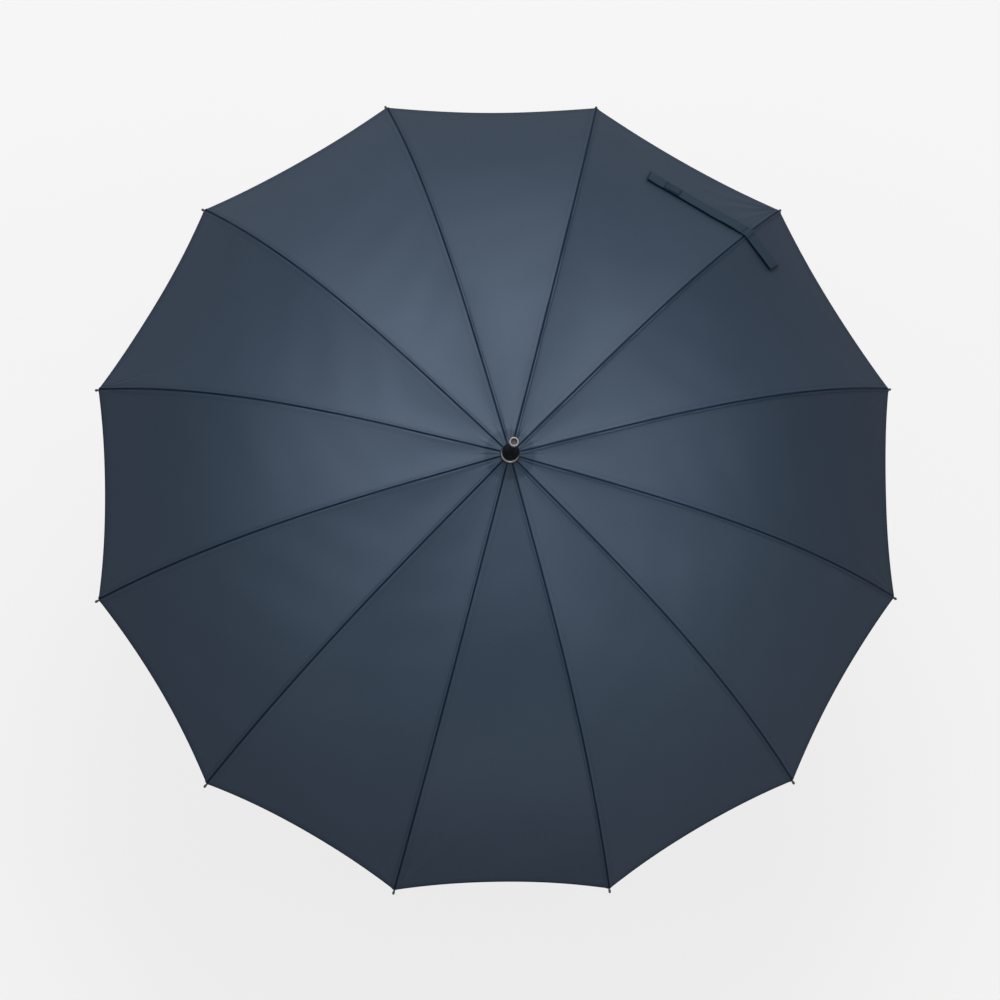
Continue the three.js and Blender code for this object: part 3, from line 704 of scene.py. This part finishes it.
def strap_point(turn, edge, above):
    """A point of the strap, and its distance round from the rib."""
    station = strap_station(turn) + edge * STRAP_WIDTH / 2 * STRAP_SLANT
    across = np.tan(np.radians(np.abs(turn)) - HALF_STEP) / np.tan(HALF_STEP)
    y = np.sign(turn) * (1 + across) * QUARTER * station
    return fabric(STRAP_RIB, station, y, strap_lift(turn, edge) + above), np.abs(y)


def strap_piece(name, turns, section, material, thickness, base=0.0, stitch_in=1.4,
                edge_painted_dark=True):
    """A length of the strap, or of the patch on it, as a closed flat tube. base is its
    height above the strap's underside, and stitch_in how far its stitches are from its edge."""
    turn, edge = np.meshgrid(turns, [p[0] for p in section], indexing="ij")
    through = np.broadcast_to([p[1] for p in section], turn.shape)
    points, run = strap_point(turn, edge, base + thickness / 2 * (1 + through))
    rows, columns = turn.shape
    faces = grid_faces(rows, columns, wrap=True, flip=True).tolist()
    faces += [list(range(columns)), list(range((rows - 1) * columns, rows * columns))[::-1]]
    bound_from = 0.9 if base else 0.94      # share of the half width where the painted dark edge starts
    at_edge = np.abs(edge[0]) > bound_from * np.abs(edge[0, 0])
    at_end = np.isin(np.arange(rows - 1), (0, rows - 2)) & (np.abs(turns[:-1]) > 2 * BEND)
    # edge and end faces take the painted-shade material: painted shade on the strap, and on the
    # patch partly its stitched border, partly painted shade
    shaded_faces = np.append(at_end[:, None] | (at_edge & np.roll(at_edge, -1)), [True, True])
    width = STRAP_WIDTH / 2
    end = np.minimum(np.abs(turn - turns[0]), np.abs(turns[-1] - turn)) * STRAP_SEAM * np.pi / 180
    border = np.minimum((np.abs(section[0][0]) - np.abs(edge)) * width, end)
    uvs = {
        "Weave": np.stack([run, edge * width + 9 * (through < 0)], -1).reshape(-1, 2),
        "Stitch": np.stack([run + edge * width, border - stitch_in], -1).reshape(-1, 2),
    }
    # darker towards the edges and ends: painted shade, and on the patch partly its stitched border
    shade = 1 - 0.65 * (1 - smooth(border, 0.3, 1.5))
    return add_piece(name, points.reshape(-1, 3), faces, [material, navy_painted_shade],
                     f"rib_rod_{STRAP_RIB:02d}", uvs, None, shade.ravel(),
                     (shaded_faces & edge_painted_dark).astype(int), sharp=50)


long_leg = strap_piece("strap_long", np.linspace(BEND, STRAP_LONG, 110), SECTION, navy_webbing,
                       STRAP_THICKNESS)
short_leg = strap_piece("strap_short", np.linspace(-STRAP_SHORT, -BEND, 44), SECTION, navy_webbing,
                        STRAP_THICKNESS)
bend = strap_piece("strap_bend", np.linspace(-BEND, BEND, 15), SECTION, navy_webbing,
                   STRAP_THICKNESS, edge_painted_dark=False)
patch = strap_piece("strap_patch", np.linspace(*PATCH_TURNS, 30),
                    [(PATCH_WIDTH * e, t) for e, t in SECTION], navy_tape, PATCH_THICKNESS,
                    base=STRAP_THICKNESS + 0.02, stitch_in=1.2)
gather(long_leg, STRAP_RIB, 1, True)
gather(patch, STRAP_RIB, 1, True)
gather(short_leg, STRAP_RIB, -1, True)
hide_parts("closing_strap")

# ---- Ferrule --------------------------------------------------------------------------------

def turned(name, profile, material, radius, sides=96):
    """A piece turned about the shaft. Heights in the profile count from the crown."""
    points, faces = lathe(rounded(profile, radius), sides)
    points[:, 2] += CROWN_Z
    return add_piece(name, points, faces, [material], "shaft", sharp=50)


body = turned("ferrule_body", [
    (5.35, 2.1), (8.6, 2.1), (8.6, 13.1), (10.3, 13.3), (10.6, 14.4), (10.2, 16.8), (8.9, 20),
    (7.2, 23.6), (6.2, 27), (5.75, 32), (5.75, 44), (5.5, 44.5), (5.5, 45.3), (5.75, 45.8),
    (5.75, 70.7), (0.02, 70.7), (0.02, 15), (5.35, 15), (5.35, 2.1)],
    gloss_plastic, 0.8)
foot = turned("ferrule_foot", [
    (5.35, 0.4), (12, 0.4), (12, 1.3), (11.1, 2.05), (5.35, 2.05), (5.35, 0.4)],
    rubber, 0.4)
# The seal under the cloth closes the crown when the ribs hang down.
seal = turned("crown_seal", [
    (5.35, 0.3), (7.5, -0.55), (9.5, -1.5), (11.5, -2.0), (12.1, -2.5), (12.1, -3.3), (11.6, -3.3),
    (11.4, -2.7), (9.4, -2.1), (7.4, -1.2), (5.35, -0.4), (5.35, 0.3)],
    rubber, 0.3)
band = turned("ferrule_band", [
    (8.9, 2.3), (10.7, 2.3), (11.3, 2.9), (11.2, 3.6), (10.5, 4.5), (9.8, 5.3), (9.5, 6.6),
    (9.5, 10.4), (9.3, 10.7), (9.3, 11.1), (9.5, 11.4), (9.5, 12.6), (9.1, 13), (8.9, 13),
    (8.9, 2.3)],
    chrome, 0.2)
end = turned("ferrule_end", [
    (0.02, 71), (6, 71), (6.2, 72), (6.2, 76), (5.6, 77), (4.1, 77), (3.6, 76.6), (3.5, 74.5),
    (0.02, 74.5)],
    worn_tip, 0.35)
turned("ferrule_hollow", [(0.02, 74.7), (3.42, 74.7), (3.46, 76.3)],
       plastic, 0.2, sides=64)
for piece in (body, foot, seal):
    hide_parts("ferrule_cap")
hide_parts("ferrule_ring")
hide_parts("ferrule_tip")

# ---- Handle ---------------------------------------------------------------------------------

def crook_line(distance):
    """The handle's middle line, at a distance from its top."""
    straight, bend = HANDLE_TOP - HANDLE_BEND_Z, np.pi * CROOK_RADIUS
    turn = np.clip(distance - straight, 0, bend) / CROOK_RADIUS
    after = np.clip(distance - straight - bend, 0, None)
    x = CROOK_RADIUS * (1 - np.cos(turn))
    z = HANDLE_TOP - np.minimum(distance, straight) - CROOK_RADIUS * np.sin(turn) + after
    return np.stack([x, 0 * x, z], -1)


# Sections of the handle as (distance, radius): the top rim, the run and the rounded end.
CROOK_SIDES = 56
CROOK_LENGTH = HANDLE_TOP - HANDLE_BEND_Z + np.pi * CROOK_RADIUS + CROOK_END
top_rim = [(0.0, 5.4), (0.0, 10.2), (0.25, 10.75), (0.9, HANDLE_RADIUS)]
body_run = [(d, HANDLE_RADIUS) for d in np.linspace(4, CROOK_LENGTH - 8, 150)]
end_cap = [(CROOK_LENGTH - HANDLE_RADIUS * 0.55 * (1 - np.sin(t)),
            HANDLE_RADIUS * (0.25 + 0.75 * np.cos(t))) for t in np.linspace(0.2, np.pi / 2, 10)]
distances, radii = np.array(top_rim + body_run + end_cap + [(CROOK_LENGTH, 0.02)]).T
centres = crook_line(distances)
tangent = crook_line(distances + 0.01) - crook_line(distances - 0.01)
tangent[distances <= 0.01] = (0, 0, -1)     # the two sections of the flat top
tangent /= np.linalg.norm(tangent, axis=1)[:, None]
across = np.array([0, 1.0, 0])
out = np.cross(tangent, across)
spin = np.arange(CROOK_SIDES) * 2 * np.pi / CROOK_SIDES
ring = out[:, None] * np.cos(spin)[None, :, None] + across * np.sin(spin)[None, :, None]
crook_points = (centres[:, None] + ring * radii[:, None, None]).reshape(-1, 3)
crook = add_piece("crook_grip", crook_points, grid_faces(len(radii), CROOK_SIDES, wrap=True),
                  [rubber], "shaft", sharp=50)
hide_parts("handle_crook")

low = HANDLE_TOP + 0.3 - CROWN_Z
collar = turned("grip_collar", [
    (5.35, low), (10.6, low), (11.3, low + 0.9), (11.3, low + 3), (11, low + 3.4), (11, low + 4),
    (11.3, low + 4.4), (11.3, low + 6.8), (10.9, low + 7.6), (9.4, low + 9), (5.35, low + 9),
    (5.35, low)],
    chrome, 0.3)
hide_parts("handle_collar")

# ---- Finish of the CAD pieces ---------------------------------------------------------------

SMOOTH_BELOW = 38     # degrees


def smooth_cad(obj):
    """Smooth shading across shallow edges, from the faces that meet at each corner."""
    mesh = obj.data
    key, near, face_normals = {}, [], [p.normal.copy() for p in mesh.polygons]
    for v in mesh.vertices:
        near.append(key.setdefault(tuple(round(c, 6) for c in v.co), len(key)))
    touching = [[] for _ in key]
    for p in mesh.polygons:
        for v in p.vertices:
            touching[near[v]].append(p.index)
    least = np.cos(np.radians(SMOOTH_BELOW))
    normals = []
    for p in mesh.polygons:
        for v in p.vertices:
            total_normal = Vector((0, 0, 0))
            for q in touching[near[v]]:
                if face_normals[q].dot(face_normals[p.index]) > least:
                    total_normal += face_normals[q] * mesh.polygons[q].area
            normals.append(total_normal.normalized() if total_normal.length else p.normal)
    mesh.polygons.foreach_set("use_smooth", np.ones(len(mesh.polygons), bool))
    mesh.normals_split_custom_set([tuple(n) for n in normals])


FINISH = {"shaft_tube": shaft_black, "runner": plastic, "top_notch": plastic}   # others: steel
for name, obj in NODES.items():
    if obj.hide_render:
        continue
    smooth_cad(obj)
    for material_slot in obj.material_slots:
        material_slot.material = FINISH.get(name, steel)

# ---- Floor, light and camera ----------------------------------------------------------------

FLOOR_Z = CAD_BOX[0].z - 0.002
FLOOR_REACH = 60
floor_material, *_ = new_material(
    "pale_floor", (0.15, 0.15, 0.15), 0.9, Specular_IOR_Level=0.0,
    Emission_Color=(1, 1, 1, 1), Emission_Strength=0.759)
floor_mesh = bpy.data.meshes.new("floor")
floor_mesh.from_pydata([
    (-FLOOR_REACH, -FLOOR_REACH, FLOOR_Z), (FLOOR_REACH, -FLOOR_REACH, FLOOR_Z),
    (FLOOR_REACH, FLOOR_REACH, FLOOR_Z), (-FLOOR_REACH, FLOOR_REACH, FLOOR_Z)], [], [(0, 1, 2, 3)])
floor_mesh.materials.append(floor_material)
floor = bpy.data.objects.new("floor", floor_mesh)
bpy.context.scene.collection.objects.link(floor)
floor.visible_glossy = floor.visible_diffuse = False     # its glow stays off the umbrella

world = bpy.data.worlds.new("studio")
world.use_nodes = True
background = world.node_tree.nodes["Background"]
background.inputs["Color"].default_value = (1, 1, 1, 1)
background.inputs["Strength"].default_value = 0.271
bpy.context.scene.world = world
bpy.context.scene.view_settings.view_transform = "Standard"

LIT_POINT = Vector((0, 0, (CROWN_Z - 100) * MM))
SOFTBOX_DISTANCE = 3.2


def softbox(name, azimuth, elevation, power):
    light = bpy.data.lights.new(name, "AREA")
    light.shape, light.size, light.size_y, light.energy = "RECTANGLE", 1.8, 1.4, power
    obj = bpy.data.objects.new(name, light)
    a, e = np.radians(azimuth), np.radians(elevation)
    towards = Vector((np.cos(a) * np.cos(e), np.sin(a) * np.cos(e), np.sin(e)))
    obj.location = LIT_POINT + towards * SOFTBOX_DISTANCE
    obj.rotation_euler = towards.to_track_quat("Z", "Y").to_euler()
    bpy.context.scene.collection.objects.link(obj)


softbox("key", 90, 55, 56.5)
softbox("high", 90, 70, 12.8)
softbox("east", 0, 55, 21.9)
softbox("west", 180, 55, 24.4)
softbox("low_back", 90, 20, 17.3)
softbox("low_front", 270, 20, 15.4)

RIM_CENTRE = Vector((0, 0, (CROWN_Z - CANOPY_HEIGHT) * MM))
DISTANCE = 6.706      # metres
LENS = 194.2          # millimetres
AIM = Vector((0.00404, -0.00834, 0))    # the rim's centre lies this far off the picture's middle
view = (Matrix.Rotation(np.radians(-10.37), 3, "X") @ Matrix.Rotation(np.radians(3.52), 3, "Y")
        @ Matrix.Rotation(np.radians(0.78), 3, "Z")).transposed()
camera_data = bpy.data.cameras.new("camera")
camera_data.lens = LENS
camera_data.clip_end = 120
camera = bpy.data.objects.new("camera", camera_data)
place = RIM_CENTRE + view @ (Vector((0, 0, DISTANCE)) + AIM)
camera.matrix_world = Matrix.Translation(place) @ view.to_4x4()
bpy.context.scene.collection.objects.link(camera)
bpy.context.scene.camera = camera
